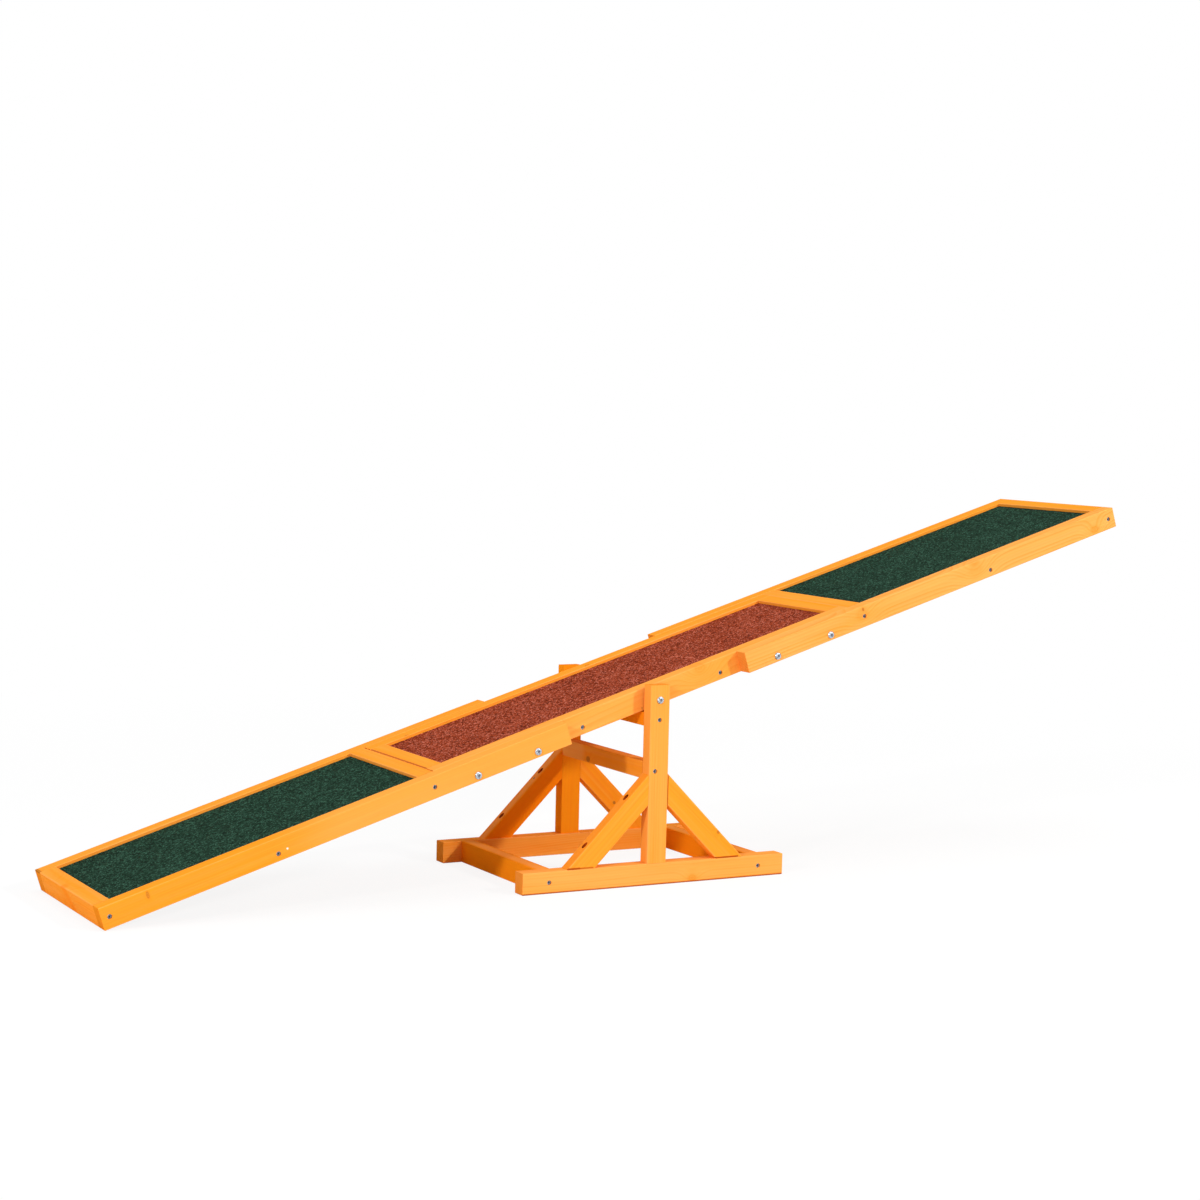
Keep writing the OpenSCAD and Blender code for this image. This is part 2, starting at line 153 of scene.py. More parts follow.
# A knot against its half height: how wide and how far it pushes the rings, its edge, its own rings and its halo
KNOT_SWELL = 2.4
KNOT_PUSH = 1.9
KNOT_EDGE = (1.25, 0.70)
KNOT_RING = 0.22
KNOT_HALO = 3.2

# How much of each colour of the look shows at most
RING_SHARE = 0.62
PATCH_SHARE = 0.30
STREAK_SHARE = 0.34
END_SHARE = 0.55
HALO_SHARE = 0.25

# Rounded edges are rubbed paler from the first of these distances to a board's sides to the second
RUBBED = (0.0024, 0.0004)

# Wood without any stain
BARE_WOOD = (0.95, 0.86, 0.72)

# The painted shade in the pockets, at its darkest and lightest against the colour of the seams
POCKET_SHADE = (0.95, 1.60)

# Plywood: its plies, the colour between its lines, that of the lines and that of the glue
PLIES = 5
PLY_PALE = (0.62, 0.40, 0.20)
PLY_LINE = (0.44, 0.24, 0.10)
PLY_GLUE = (0.16, 0.08, 0.04)

# Metals: how fine the clouds on them are, between which levels these turn from dark to bright, and their roughness
BOLT_PLATE = (330.0, 0.32, 0.56, (0.22, 0.40))
SCREW_PLATE = (420.0, 0.36, 0.66, (0.22, 0.40))
NAIL_STEEL = (500.0, 0.30, 0.60, (0.45, 0.65))
SCREW_DIM = 0.60
# How light the painted shade is in the screws' cross recesses and in the bolts' sockets
CROSS_LIGHT, SOCKET_LIGHT = 1.0, 8.0

# The domed bolts and the nail, in metres. A ring is its radius and its drop below the ring before it, and the land
# round the socket is as many times as wide as the socket
SOCKET_ACROSS = 0.004
LAND = 1.3
SHANK, THREAD_ROOT = 0.0030, 0.00264
HEAD_RINGS = ((0.0034, 0.00003), (0.0040, 0.00012), (0.0046, 0.00030), (0.0051, 0.00045), (0.00550, 0.00060),
              (0.00572, 0.00060), (0.00574, 0.00030), (0.00560, 0.00020), (0.0031, 0.0), (SHANK, 0.0001))
HEAD_DROP = 0.0027
THREADED, PITCH = 0.018, 0.001
TIP_RINGS = ((0.0026, PITCH * 0.5), (0.0024, PITCH * 0.5))
SOCKET_RINGS = ((0.00222, 0.0002), (0.00222, 0.0014), (0.0014, 0.0002))
NAIL_TOP = 0.0004
NAIL_RINGS = ((0.0010, 0.00006), (0.0014, 0.00012), (0.0016, 0.00018), (0.0016, 0.0003), (0.0009, 0.0002),
              (0.0009, 0.0120), (0.0002, 0.0015))

# Holes at the outer face of a fixing's head: their radius, and between which heights over that face they lie
POCKET = (0.00415, -0.0005, math.inf)
CROSS_RECESS = (0.0018, -0.0018, -0.00001)
SOCKET = (0.0024, -0.0019, -0.00005)

# A fixing's head is the wider of its two ends, measured over this length
HEAD_REACH = 0.004

# A domed bolt sits this far below the plain one that it replaces
SUNK = 0.000002

# Where the nail goes in, and how far its head stands proud
NAIL_PLACE = Vector((PIVOT["pos_m"][0] - 0.0613, 0.1390, 0.1232))
NAIL_PROUD = 0.0004

# Edges of the new pieces stay sharp from this angle on, and a piece with fewer faces than this has failed
SHARP_FROM = math.radians(35)
FEWEST_FACES = 100

# The photograph's viewpoint: place, heading, fall and lean, and its focal length for a square picture
CAMERA_PLACE = (-1.88749, -3.40092, 0.74001)
CAMERA_YAW, CAMERA_PITCH, CAMERA_ROLL = 0.50124, 0.08273, 0.02294
CAMERA_LENS, CAMERA_SENSOR = 75.86, 36.0

# Lamps: name, width, heading from the front (to the right) and height, both in degrees. All look at one spot
LAMPS = (("key", 0.45, 32.5, 28.8), ("fill", 0.5, -62.0, 19.5), ("top", 4.5, 0.0, 82.0))
LAMP_AWAY = 7.0
LAMP_AIM = Vector((0.0, 0.0, 0.25))

# The floor: its width, its colour in the picture, and how that fades into white: from and to which distance from the
# middle, and from and to which share
FLOOR_WIDTH = 30.0
FLOOR_SEEN = (0.92, 0.92, 0.92)
FLOOR_FADE = (0.9, 2.4, 0.88, 1.0)


def knot(x, y, z, size, long=1.0, strength=0.8, through="y", ripple=1.0, kind="knot"):
    """A knot through a board: its place, half height, length against height, and how far it bends the rings."""
    return {"kind": kind, "place": (x, y, z), "size": size, "long": long, "strength": strength,
            "through": through, "ripple": ripple}


def swirl(x, y, z, size, long=1.3, strength=0.4, through="y", ripple=1.0):
    """A pale knot that shows only as a ring of deeper stain."""
    return knot(x, y, z, size, long, strength, through, ripple, kind="swirl")


def chip(x, y, z, size, strength=1.0):
    """A spot where the stain has come off."""
    return {"kind": "chip", "place": (x, y, z), "size": size, "strength": strength}


def seam(start, end, width, strength=0.7, kind="seam"):
    """A thin dark line, for seams where two boards meet and for painted shade in gaps and along an edge at the floor.
    """
    return {"kind": kind, "place": start, "end": end, "size": width, "strength": strength}


def pale_stretch(start, end, width, strength=0.5):
    """A stretch of paler wood: mostly painted light, on faces that are lit more."""
    return seam(start, end, width, strength, kind="pale_stretch")


def rich(start, end, width, strength=0.5):
    """A stretch of deeper wood, where the stain lies thick."""
    return seam(start, end, width, strength, kind="rich")


# Marks of single boards, in metres. On the plank: along it from the pivot, across it and square to it.
# On the base: in the shared frame
MARKS = {
    "low_rail_near": (
        knot(-0.8283, -0.149, 0.0125, 0.0062, long=0.42, strength=0.62),
        chip(-0.6213, -0.1493, 0.0004, 0.0016),
        pale_stretch((-0.4600, -0.1493, 0.0040), (-0.2000, -0.1493, 0.0040), 0.2000, 0.42),
    ),
    "low_rail_far": (knot(-0.8970, 0.1480, 0.0195, 0.0024, strength=0.8),),
    "low_end_board": (
        swirl(-0.887, 0.020, 0.0, 0.0110, strength=0.35, through="x", ripple=1.6),
        rich((-0.8985, 0.0137, 0.0203), (-0.8985, -0.0180, -0.0110), 0.0130, 0.40),
    ),
    "low_joint_board": (seam((-0.3720, -0.1240, 0.0203), (-0.3720, 0.1240, 0.0203), 0.0016, 0.70),),
    "mid_board_low": (seam((-0.3706, -0.1240, 0.0203), (-0.3706, 0.1240, 0.0203), 0.0016, 0.70),),
    "mid_rail_near": (
        swirl(0.0914, -0.125, 0.0166, 0.0090, strength=0.30),
        knot(-0.0208, -0.125, -0.0083, 0.0014, strength=0.70, ripple=0.6),
    ),
    "mid_rail_far": (
        knot(0.019, 0.106, 0.0203, 0.0042, strength=0.60, through="z"),
        knot(-0.3086, 0.1035, 0.0203, 0.0026, long=1.6, strength=0.65, through="z"),
    ),
    "high_rail_near": (
        knot(0.3834, -0.149, 0.0150, 0.0030, long=0.7, strength=0.80, ripple=1.8),
        swirl(0.3800, -0.149, 0.0080, 0.0110, long=1.1, strength=0.30, ripple=0.6),
        swirl(0.8542, -0.149, -0.0040, 0.0075, long=1.2, strength=0.50, ripple=1.4),
        swirl(0.6071, -0.149, 0.0068, 0.0110, strength=0.22),
    ),
    "base_rail_near": (
        swirl(0.0645, -0.1493, 0.0063, 0.0060, strength=0.60),
        # Painted shade: a dark line along the bottom edge, where the rail meets the floor
        seam((-0.2230, -0.1490, 0.0004), (0.2250, -0.1490, 0.0004), 0.0030, 0.85),
    ),
    "lower_crossbar": (
        # Partly painted light: the far end of the crossbar's side is painted paler where light falls there, next to a
        # real knot, and its top is painted paler as if lit
        pale_stretch((-0.0154, 0.1280, 0.1730), (-0.0154, 0.0740, 0.1730), 0.0260, 0.50),
        knot(-0.0154, 0.0427, 0.1650, 0.0048, long=1.3, strength=0.75, through="x"),
        pale_stretch((-0.0050, -0.1200, 0.1860), (-0.0050, 0.1200, 0.1860), 0.0100, 0.50),
    ),
    # Painted light: the tops of the cross rails are painted paler, as if lit
    "cross_rail_low": (pale_stretch((-0.1799, -0.1200, 0.0330), (-0.1799, 0.1200, 0.0330), 0.0130, 0.60),),
    "cross_rail_high": (pale_stretch((0.1821, -0.1200, 0.0330), (0.1821, 0.1200, 0.0330), 0.0130, 0.60),),
    # Painted light: the slanted upper edge of this brace is painted paler, as if lit
    "brace_far_low": (pale_stretch((-0.0154, 0.1390, 0.1691), (-0.1504, 0.1390, 0.0341), 0.0110, 0.60),),
    "brace_far_high": (knot(0.0811, 0.1287, 0.0773, 0.0024, long=1.2, strength=0.90),),
    "brace_near_low": (
        # Painted shade: dark lines in the gaps where the brace meets the rail
        seam((-0.1508, -0.1290, 0.0337), (-0.1508, -0.1492, 0.0337), 0.0011, 0.75),
        seam((-0.1500, -0.1492, 0.0338), (-0.1300, -0.1492, 0.0338), 0.0030, 0.90),
        seam((-0.1300, -0.1492, 0.0338), (-0.1080, -0.1492, 0.0338), 0.0026, 0.65),
    ),
    "brace_near_high": (
        knot(0.1089, -0.1484, 0.0734, 0.0030, strength=0.75),
        # Painted shade: dark lines in the gaps where the brace meets the post and the rail
        seam((0.0182, -0.1492, 0.1660), (0.0182, -0.1492, 0.1130), 0.0011, 0.80),
        seam((0.1010, -0.1492, 0.0338), (0.1440, -0.1492, 0.0338), 0.0024, 0.90),
    ),
}


class Shade:
    """Adds and links the nodes of a new material, or of a new world."""

    def __init__(self, name, kind="materials"):
        self.owner = getattr(bpy.data, kind).new(name)
        self.owner.use_nodes = True
        self.tree = self.owner.node_tree
        self.tree.nodes.clear()

    def add(self, kind, inputs=None, **settings):
        """A node with its settings, and with inputs that are values or the sockets to link."""
        node = self.tree.nodes.new(kind)
        for key, value in settings.items():
            setattr(node, key, value)
        for key, value in (inputs or {}).items():
            if isinstance(value, bpy.types.NodeSocket):
                self.tree.links.new(value, node.inputs[key])
            else:
                node.inputs[key].default_value = value
        return node

    def sum(self, operation, a, b=0.0, c=0.0):
        """One step of arithmetic."""
        return self.add("ShaderNodeMath", {0: a, 1: b, 2: c}, operation=operation).outputs[0]

    def vector(self, operation, a, b=(0, 0, 0), c=(0, 0, 0)):
        """One step of arithmetic on vectors."""
        node = self.add("ShaderNodeVectorMath", {0: a, 1: b, 2: c}, operation=operation)
        return node.outputs["Value" if operation in ("LENGTH", "DISTANCE", "DOT_PRODUCT") else "Vector"]

    def step(self, value, low, high, to_low=0.0, to_high=1.0):
        """Goes smoothly from to_low to to_high while the value goes from low to high."""
        inputs = {"Value": value, "From Min": low, "From Max": high, "To Min": to_low, "To Max": to_high}
        return self.add("ShaderNodeMapRange", inputs, interpolation_type="SMOOTHSTEP").outputs["Result"]

    def blend(self, share, a, b, how="MIX"):
        """Colour a with a share of b over it."""
        node = self.add("ShaderNodeMix", {0: share, 6: a, 7: b}, data_type="RGBA", blend_type=how)
        return node.outputs[2]

    def noise(self, place, scale, detail, seed, rough=0.5, colour=False):
        """Noise with its own seed, as one level or as a colour of three."""
        inputs = {"Vector": place, "W": seed, "Scale": scale, "Detail": detail, "Roughness": rough}
        node = self.add("ShaderNodeTexNoise", inputs, noise_dimensions="4D")
        return node.outputs["Color" if colour else 0]

    def to_segment(self, place, start, end):
        """Distance to the straight line between two points."""
        along = Vector(end) - Vector(start)
        share = self.vector("DOT_PRODUCT", self.vector("SUBTRACT", place, start), along / along.length_squared)
        share = self.add("ShaderNodeClamp", {"Value": share}).outputs[0]
        shares = self.add("ShaderNodeCombineXYZ", {0: share, 1: share, 2: share}).outputs[0]
        return self.vector("DISTANCE", place, self.vector("MULTIPLY_ADD", tuple(along), shares, start))

    def ramp(self, value, *stops):
        """A colour by value, from stops of place and colour."""
        node = self.add("ShaderNodeValToRGB", {0: value})
        points = node.color_ramp.elements
        while len(points) < len(stops):
            points.new(0.5)
        for point, (place, colour) in zip(points, stops):
            point.position = place
            point.color = rgba(colour)
        return node.outputs[0]

    def curve(self, value, *stops):
        """A grey level by value, from stops of place and level."""
        return self.ramp(value, *((place, (level,) * 3) for place, level in stops))

    def place(self):
        """The place on the piece, in metres of the shared frame."""
        return self.add("ShaderNodeTexCoord").outputs["Object"]

    def seen(self):
        """1 for what the camera sees straight, or by way of gloss or glass, else 0."""
        ray = self.add("ShaderNodeLightPath").outputs
        indirect = self.sum("MAXIMUM", ray["Is Glossy Ray"], ray["Is Transmission Ray"])
        return self.sum("MAXIMUM", ray["Is Camera Ray"], indirect)

    def surface(self, colour, roughness, height, depth, strength, specular=0.5, metallic=0.0):
        """Ends a material: height is what its bump shows, depth in metres."""
        bump = self.add("ShaderNodeBump", {"Height": height, "Distance": depth, "Strength": strength})
        inputs = {"Base Color": colour, "Roughness": roughness, "Normal": bump.outputs[0],
                  "Specular IOR Level": specular, "Metallic": metallic}
        shader = self.add("ShaderNodeBsdfPrincipled", inputs)
        self.add("ShaderNodeOutputMaterial", {"Surface": shader.outputs[0]})
        return self.owner


def rgba(colour):
    """A colour with full cover."""
    return (*colour, 1.0)


def scaled(colour, *by):
    """A colour times one number, or each of its channels times its own."""
    return tuple(c * b for c, b in zip(colour, by if len(by) == 3 else by * 3))


def in_frame(node, place):
    """A mark's place in the shared frame."""
    if frame["nodes"][node]["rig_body"] == "plank":
        return Vector(PIVOT["pos_m"]) + PLANK_TURN @ Vector(place)
    return Vector(place)


def board_frame(node, lie):
    """Turn, centre and half size of a board in its own directions."""
    turn = LIES[lie]
    back = turn.transposed()
    points = [back @ v.co for v in frame["nodes"][node].data.vertices]
    low = Vector([min(p[i] for p in points) for i in range(3)])
    high = Vector([max(p[i] for p in points) for i in range(3)])
    return turn, turn @ ((low + high) / 2), (high - low) / 2


def along_board(s, turn, centre):
    """Texture coordinates, and the place from a board's middle in its own directions."""
    source = s.add("ShaderNodeTexCoord").outputs
    inputs = {"Vector": source["Object"], "Location": centre, "Rotation": turn.to_euler("XYZ")}
    return source, s.add("ShaderNodeMapping", inputs, vector_type="TEXTURE").outputs[0]


def facing(s, source, direction):
    """How squarely a face looks along a direction or against it, from 0 to 1."""
    return s.sum("ABSOLUTE", s.vector("DOT_PRODUCT", source["Normal"], direction))


def marks_on(s, node, local, turn, centre, radius):
    """The rings' radius bent round a board's knots, the halo of the knots, and the share of each kind of mark."""
    shares = dict.fromkeys(("pale_stretch", "rich", "knot", "swirl", "chip", "seam"), 0.0)
    halo = 0.0
    back = turn.transposed()
    for mark in MARKS.get(node, ()):
        kind, size, strength = mark["kind"], mark["size"], mark["strength"]
        spot = back @ (in_frame(node, mark["place"]) - centre)
        if kind in ("knot", "swirl"):
            # The two of the board's directions that the knot doesn't run through
            flat = (1 / mark["long"], 1.0, 0.0) if mark["through"] == "z" else (1 / mark["long"], 0.0, 1.0)
            middle = [a * b for a, b in zip(spot, flat)]
            gap = s.vector("DISTANCE", s.vector("MULTIPLY", local, flat), middle)
            swell = s.sum("MULTIPLY", s.sum("MULTIPLY", gap, gap), -1 / (KNOT_SWELL * size) ** 2)
            radius = s.sum("MULTIPLY_ADD", s.sum("EXPONENT", swell), KNOT_PUSH * size * mark["ripple"], radius)
            within = s.step(gap, size * KNOT_EDGE[0], size * KNOT_EDGE[1], 0.0, strength)
            rings = s.sum("DIVIDE", s.sum("PINGPONG", gap, size * KNOT_RING), size * KNOT_RING)
            within = s.sum("MULTIPLY", within, s.step(rings, 0.0, 1.0, 0.55, 1.0))
            halo = s.sum("MAXIMUM", s.step(gap, size * KNOT_HALO, size, 0.0, strength), halo)
        elif kind == "chip":
            within = s.step(s.vector("DISTANCE", local, tuple(spot)), size * 1.2, size * 0.7, 0.0, strength)
        else:
            end = back @ (in_frame(node, mark["end"]) - centre)
            within = s.step(s.to_segment(local, tuple(spot), tuple(end)), size, size * 0.3, 0.0, strength)
        shares[kind] = s.sum("MAXIMUM", within, shares[kind])
    return radius, halo, shares


def stained_timber(node, lie, tone_and_painted_shading, figure, seed, look):
    """Softwood with growth rings in depth, fibres, knots and stain, laid along one board."""
    turn, centre, half = board_frame(node, lie)
    pick = random.Random(seed)
    s = Shade("timber_" + node)
    source, local = along_board(s, turn, centre)
    parts = s.add("ShaderNodeSeparateXYZ", {0: local}).outputs

    # Grain that wanders a little along the board
    stretched = s.vector("MULTIPLY", local, WANDER_SCALE)
    wander = s.noise(stretched, 1.0, 2.0, seed, colour=True)
    wander = s.vector("MULTIPLY_ADD", wander, (0.0, WANDER, WANDER), (0.0, -WANDER / 2, -WANDER / 2))

    # Distance from the heart of the tree, pushed outwards round each knot
    away = pick.uniform(*HEART_AWAY)
    angle = pick.uniform(*HEART_ANGLE) * math.pi * pick.choice((-1, 1)) + pick.choice((0, math.pi))
    heart = (0.0, away * math.cos(angle), away * math.sin(angle))
    lean = pick.uniform(-HEART_LEAN, HEART_LEAN)
    from_heart = s.vector("SUBTRACT", s.vector("ADD", local, wander), heart)
    leaned = s.vector("MULTIPLY_ADD", parts[0], (0.0, lean, -lean), from_heart)
    radius = s.vector("LENGTH", s.vector("MULTIPLY", leaned, (0.0, 1.0, 1.0)))
    radius, halo, shares = marks_on(s, node, local, turn, centre, radius)

    # Rings: soft early wood, then a darker late band that ends sharply, each year its own strength
    spacing = pick.uniform(*RING_SPACING)
    years = s.sum("MULTIPLY_ADD", s.noise(stretched, 0.6, 1.0, seed + 5.5), 0.9, s.sum("DIVIDE", radius, spacing))
    late = s.curve(s.sum("FRACT", years), (0.0, 0.0), (0.42, 0.10), (0.80, 0.85), (0.93, 1.0), (1.0, 0.05))
    year = s.sum("ADD", s.sum("FLOOR", years), seed * 3.1)
    own = s.add("ShaderNodeTexWhiteNoise", {"W": year}, noise_dimensions="1D").outputs["Value"]
    late = s.sum("MULTIPLY", late, s.step(own, 0.0, 1.0, 0.35, 1.0))

    # Fine fibres and slow patches where the stain took more
    fibre = s.noise(s.vector("MULTIPLY", local, FIBRE_SCALE), 1.0, 3.0, seed + 1.3, 0.6)
    streak = s.noise(s.vector("MULTIPLY", local, STREAK_SCALE), 1.0, 2.0, seed + 2.7)
    patch = s.step(s.noise(s.vector("MULTIPLY", local, PATCH_SCALE), 1.0, 3.0, seed + 8.1), 0.42, 0.72)

    # Early wood leans to pale or to deep by the board's paleness, which is partly its own tone and partly painted
    # light and shade
    towards = look.pale if tone_and_painted_shading > 0 else look.deep
    early = [look.stain[i] + (towards[i] - look.stain[i]) * abs(tone_and_painted_shading) for i in range(3)]
    thin = rgba(look.pale if tone_and_painted_shading > 0 else look.stain)
    colour = s.blend(s.sum("MULTIPLY", late, RING_SHARE * figure), rgba(early), rgba(look.late))
    colour = s.blend(s.sum("MULTIPLY", patch, PATCH_SHARE), colour, rgba(look.patch))
    colour = s.blend(s.step(streak, 0.35, 0.75, 0.0, STREAK_SHARE * figure), colour, thin)
    colour = s.blend(0.5, colour, s.curve(fibre, (0.25, 0.42), (0.75, 0.58)), "OVERLAY")

    # Sawn ends drink more stain, and the rounded edges keep less
    end = s.step(facing(s, source, turn @ Vector((1, 0, 0))), 0.55, 0.75)
    near_y, near_z = (
        s.step(s.sum("ABSOLUTE", parts[i]), half[i] - RUBBED[0], half[i] - RUBBED[1]) for i in (1, 2)
    )
    rubbed = s.sum("MULTIPLY", s.sum("MULTIPLY", near_y, near_z), s.step(streak, 0.3, 0.7, 0.15, 0.6))
    colour = s.blend(s.sum("MULTIPLY", rubbed, s.sum("SUBTRACT", 1.0, end)), colour, thin)
    colour = s.blend(s.sum("MULTIPLY", end, END_SHARE), colour, rgba(look.end))
    if node in MARKS:
        for share, tone in (
            (shares["pale_stretch"], look.pale),
            (shares["rich"], look.deep),
            (s.sum("MULTIPLY", halo, HALO_SHARE), look.patch),
            (shares["swirl"], look.late),
            (shares["knot"], look.knot),
            (shares["chip"], BARE_WOOD),
            (shares["seam"], look.seam),
        ):
            colour = s.blend(share, colour, rgba(tone))

    rough = s.sum("MULTIPLY_ADD", fibre, 0.14, look.gloss)
    height = s.sum("ADD", s.sum("MULTIPLY", late, 0.55), s.sum("MULTIPLY", fibre, 0.45))
    return s.surface(colour, rough, height, 0.00035, 0.35, specular=0.0)


def drilled_wood(look):
    """The inside of the braces' drilled pockets, darkened all over as painted shade."""
    s = Shade("drilled_wood")
    fibre = s.noise(s.place(), 320.0, 3.0, 7.0)
    tone = s.ramp(fibre, (0.3, scaled(look.seam, POCKET_SHADE[0])), (0.7, scaled(look.seam, POCKET_SHADE[1])))
    return s.surface(tone, 0.9, fibre, 0.0003, 0.5, specular=0.0)


def plywood(node, seed):
    """Plywood with a wide rotary-cut figure on its faces, and plies with dark glue on its edges."""
    turn, centre, half = board_frame(node, "along plank")
    s = Shade("plywood_" + node)
    source, local = along_board(s, turn, centre)
    waves = s.noise(s.vector("MULTIPLY", local, (2.2, 9.0, 9.0)), 1.0, 3.0, seed)
    lines = s.sum("FRACT", s.sum("MULTIPLY", waves, 22.0))
    figure = s.curve(lines, (0.0, 0.0), (0.7, 0.8), (0.9, 1.0), (1.0, 0.0))
    fibre = s.noise(s.vector("MULTIPLY", local, (8.0, 500.0, 500.0)), 1.0, 3.0, seed + 3.0)
    colour = s.blend(s.sum("MULTIPLY", figure, 0.35), rgba(PLY_PALE), rgba(PLY_LINE))
    depth = s.sum("ADD", s.add("ShaderNodeSeparateXYZ", {0: local}).outputs[2], half.z)
    glue = s.step(s.sum("FRACT", s.sum("MULTIPLY", depth, PLIES / (2 * half.z))), 0.90, 0.97)
    side = s.step(facing(s, source, turn @ Vector((0, 0, 1))), 0.6, 0.4)
    colour = s.blend(s.sum("MULTIPLY", glue, side), colour, rgba(PLY_GLUE))
    height = s.sum("ADD", s.sum("MULTIPLY", figure, 0.4), fibre)
    return s.surface(colour, s.sum("MULTIPLY_ADD", fibre, 0.15, 0.6), height, 0.0003, 0.3, specular=0.25)


def grit_sheet(name, body, darkest, lightest, grain, seed):
    """Crushed mineral granules pressed into a bitumen sheet."""
    s = Shade(name)
    dark, light = scaled(body, *darkest), scaled(body, *lightest)
    place = s.place()
    grains = s.add("ShaderNodeTexVoronoi", {"Vector": place, "Scale": 1 / grain, "Randomness": 1.0}, feature="F1")
    fine = s.add("ShaderNodeTexVoronoi", {"Vector": place, "Scale": 2.1 / grain, "Randomness": 1.0}, feature="F1")
    pick = s.add("ShaderNodeSeparateColor", {0: grains.outputs["Color"]}).outputs[0]
    pick_fine = s.add("ShaderNodeSeparateColor", {0: fine.outputs["Color"]}).outputs[1]
    mixed = s.sum("MULTIPLY_ADD", pick_fine, 0.4, s.sum("MULTIPLY", pick, 0.6))
    drift = s.noise(place, 26.0, 3.0, seed)
    mixed = s.sum("ADD", mixed, s.step(drift, 0.3, 0.7, -0.04, 0.04))
    mean = [a * 0.8 + b * 0.2 for a, b in zip(body, light)]
    colour = s.ramp(mixed, (0.20, dark), (0.38, body), (0.66, mean), (0.84, light))
    gap = s.step(grains.outputs["Distance"], 0.42, 0.80, 0.0, 0.75)
    colour = s.blend(gap, colour, rgba(scaled(dark, 0.45)))
    height = s.sum("SUBTRACT", s.sum("MULTIPLY", pick, 0.5), grains.outputs["Distance"])
    return s.surface(colour, s.step(pick_fine, 0.0, 1.0, 0.72, 0.95), height, 0.0007, 0.8, specular=0.02)


def metal(name, colour, clouds, low, high, smooth):
    """Plated steel in a colour, with clouds and roughness as in the table of metals."""
    s = Shade(name)
    place = s.place()
    scratch = s.noise(s.vector("MULTIPLY", place, (900.0, 900.0, 5200.0)), 1.0, 2.0, 5.0)
    smudge = s.noise(place, clouds, 2.0, 9.0)
    tone = s.ramp(smudge, (low, scaled(colour, 0.34)), ((low + high) / 2, scaled(colour, 0.76)), (high, colour))
    rough = s.step(s.noise(place, 420.0, 4.0, 3.0), 0.3, 0.7, *smooth)
    return s.surface(tone, rough, scratch, 0.00008, 0.25, metallic=1.0)


def recess_shadow(name, light):
    """Painted shade for the inside of a driver recess, and how light it is."""
    s = Shade(name)
    cloud = s.noise(s.place(), 900.0, 3.0, 4.0)
    tone = s.ramp(cloud, (0.3, scaled((0.015, 0.015, 0.018), light)), (0.7, scaled((0.05, 0.05, 0.06), light)))
    return s.surface(tone, s.step(cloud, 0.3, 0.7, 0.55, 0.8), cloud, 0.0001, 0.3, specular=0.2)


def moulded_nylon(colour):
    """Natural nylon with faint clouds."""
    s = Shade("nylon_spacer")
    cloud = s.noise(s.place(), 260.0, 3.0, 2.0)
    tone = s.ramp(cloud, (0.3, scaled(colour, 0.93)), (0.7, colour))
    return s.surface(tone, s.step(cloud, 0.3, 0.7, 0.42, 0.55), cloud, 0.0002, 0.2)


def dress(node, *materials):
    """Gives a CAD node its materials, the first one for all its faces."""
    piece = frame["nodes"][node]
    piece.data.materials.clear()
    for material in materials:
        piece.data.materials.append(material)


def fixings_of(node):
    """The bolts or screws of a CAD node: middle of the head's outer face, way out of the head, length and faces."""
    mesh = frame["nodes"][node].data
    keys = [tuple(round(c, 6) for c in v.co) for v in mesh.vertices]
    above = {key: key for key in keys}

    def first(key):
        """The corner that stands for a whole solid."""
        while above[key] != key:
            above[key] = above[above[key]]
            key = above[key]
        return key

    for face in mesh.polygons:
        for corner in face.vertices:
            above[first(keys[corner])] = first(keys[face.vertices[0]])
    solids = {}
    for face in mesh.polygons:
        solids.setdefault(first(keys[face.vertices[0]]), []).append(face)
    fixings = []
    for faces in solids.values():
        corners = [mesh.vertices[i].co for face in faces for i in face.vertices]
        low = Vector([min(c[i] for c in corners) for i in range(3)])
        high = Vector([max(c[i] for c in corners) for i in range(3)])
        axis = max(range(3), key=lambda i: high[i] - low[i])
        middle = (low + high) / 2

        def spread(end):
            """How far the solid reaches from its axis near an end, squared."""
            close = [c - middle for c in corners if abs(c[axis] - end) < HEAD_REACH]
            return max(d.length_squared - d[axis] ** 2 for d in close)

        out = Vector((0, 0, 0))
        out[axis] = 1 if spread(high[axis]) > spread(low[axis]) else -1
        fixings.append((middle + out * (high - low)[axis] / 2, out, (high - low)[axis], faces))
    return fixings


def in_hole(face, place, out, hole):
    """Whether a face lies in a round hole at a fixing's head."""
    radius, low, high = hole
    gap = face.center - place
    height = gap.dot(out)
    return low < height < high and (gap - out * height).length < radius


def start_ring(vertices, radius):
    """A new ring of edges round the origin, selected in edit mode."""
    bpy.ops.object.select_all(action="DESELECT")
    bpy.ops.mesh.primitive_circle_add(vertices=vertices, radius=radius)
    bpy.ops.object.mode_set(mode="EDIT")
    bpy.ops.mesh.select_all(action="SELECT")
    return bpy.context.object


def next_ring(radius, drop):
    """Extrude the selected loop down by drop and bring it to that radius."""
    bpy.ops.mesh.extrude_edges_move(TRANSFORM_OT_translate={"value": (0.0, 0.0, -drop)})
    loop = [v.co for v in bmesh.from_edit_mesh(bpy.context.object.data).verts if v.select]
    now = max(math.hypot(c.x, c.y) for c in loop)
    bpy.ops.transform.resize(value=(radius / now, radius / now, 1.0), center_override=(0, 0, 0))


def select_edges(piece, wanted):
    """Select only the edges whose two ends are both wanted."""
    bpy.ops.mesh.select_all(action="DESELECT")
    mesh = bmesh.from_edit_mesh(piece.data)
    for edge in mesh.edges:
        if all(wanted(v.co) for v in edge.verts):
            edge.select_set(True)
    bmesh.update_edit_mesh(piece.data)


def leave_edit(piece):
    """Turn all faces outwards and leave edit mode."""
    bpy.ops.mesh.select_all(action="SELECT")
    bpy.ops.mesh.normals_make_consistent(inside=False)
    bpy.ops.object.mode_set(mode="OBJECT")
    return piece


